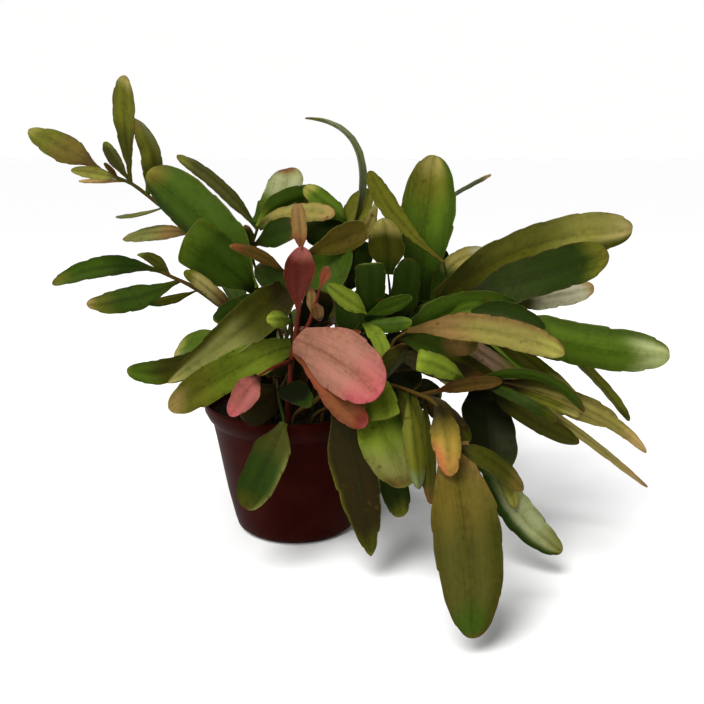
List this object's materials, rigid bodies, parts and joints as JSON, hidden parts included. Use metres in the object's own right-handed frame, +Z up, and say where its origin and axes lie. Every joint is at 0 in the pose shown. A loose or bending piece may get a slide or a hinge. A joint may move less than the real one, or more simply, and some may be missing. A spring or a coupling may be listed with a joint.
{
  "type": "potted flat-stemmed cactus",
  "caption": "Bushy potted rhipsalis: flat, notched green and olive cladodes with one red new shoot, arching out of a filled round plastic nursery pot.",
  "frame": {"origin": "centre of the flat pad under the pot, on the surface that the pot stands on", "axes": "+Z up along the pot's axis, -Y towards the viewer of the plant's best side, +X to the viewer's right"},
  "size_m": [0.4156, 0.3385, 0.2932],
  "materials": {
    "pot": "satin",
    "soil": "rough",
    "green_cladode": "satin",
    "olive_cladode": "satin",
    "dark_cladode": "satin",
    "tan_cladode": "satin",
    "red_cladode": "satin"
  },
  "bodies": {
    "root": {"pot": "pot", "soil": "soil", "far_left_shoot": "olive_cladode", "upper_left_shoot": "green_cladode", "top_left_shoot": "olive_cladode", "left_shoot": "dark_cladode", "lower_left_shoot": "green_cladode", "over_rim_shoot": "dark_cladode", "red_shoot": "red_cladode", "centre_shoot": "green_cladode", "centre_front_shoot": "green_cladode", "top_centre_shoot": "olive_cladode", "upright_shoot": "green_cladode", "right_upper_shoot": "olive_cladode", "right_shoot": "green_cladode", "tan_shoot": "tan_cladode", "right_low_shoot": "olive_cladode", "lower_right_shoot": "dark_cladode", "front_drooping_shoot": "olive_cladode", "front_middle_shoot": "green_cladode", "back_left_shoot": "green_cladode", "back_shoot": "green_cladode", "back_right_shoot": "green_cladode", "side_right_shoot": "green_cladode", "back_low_shoot": "green_cladode"}
  },
  "joints": []
}
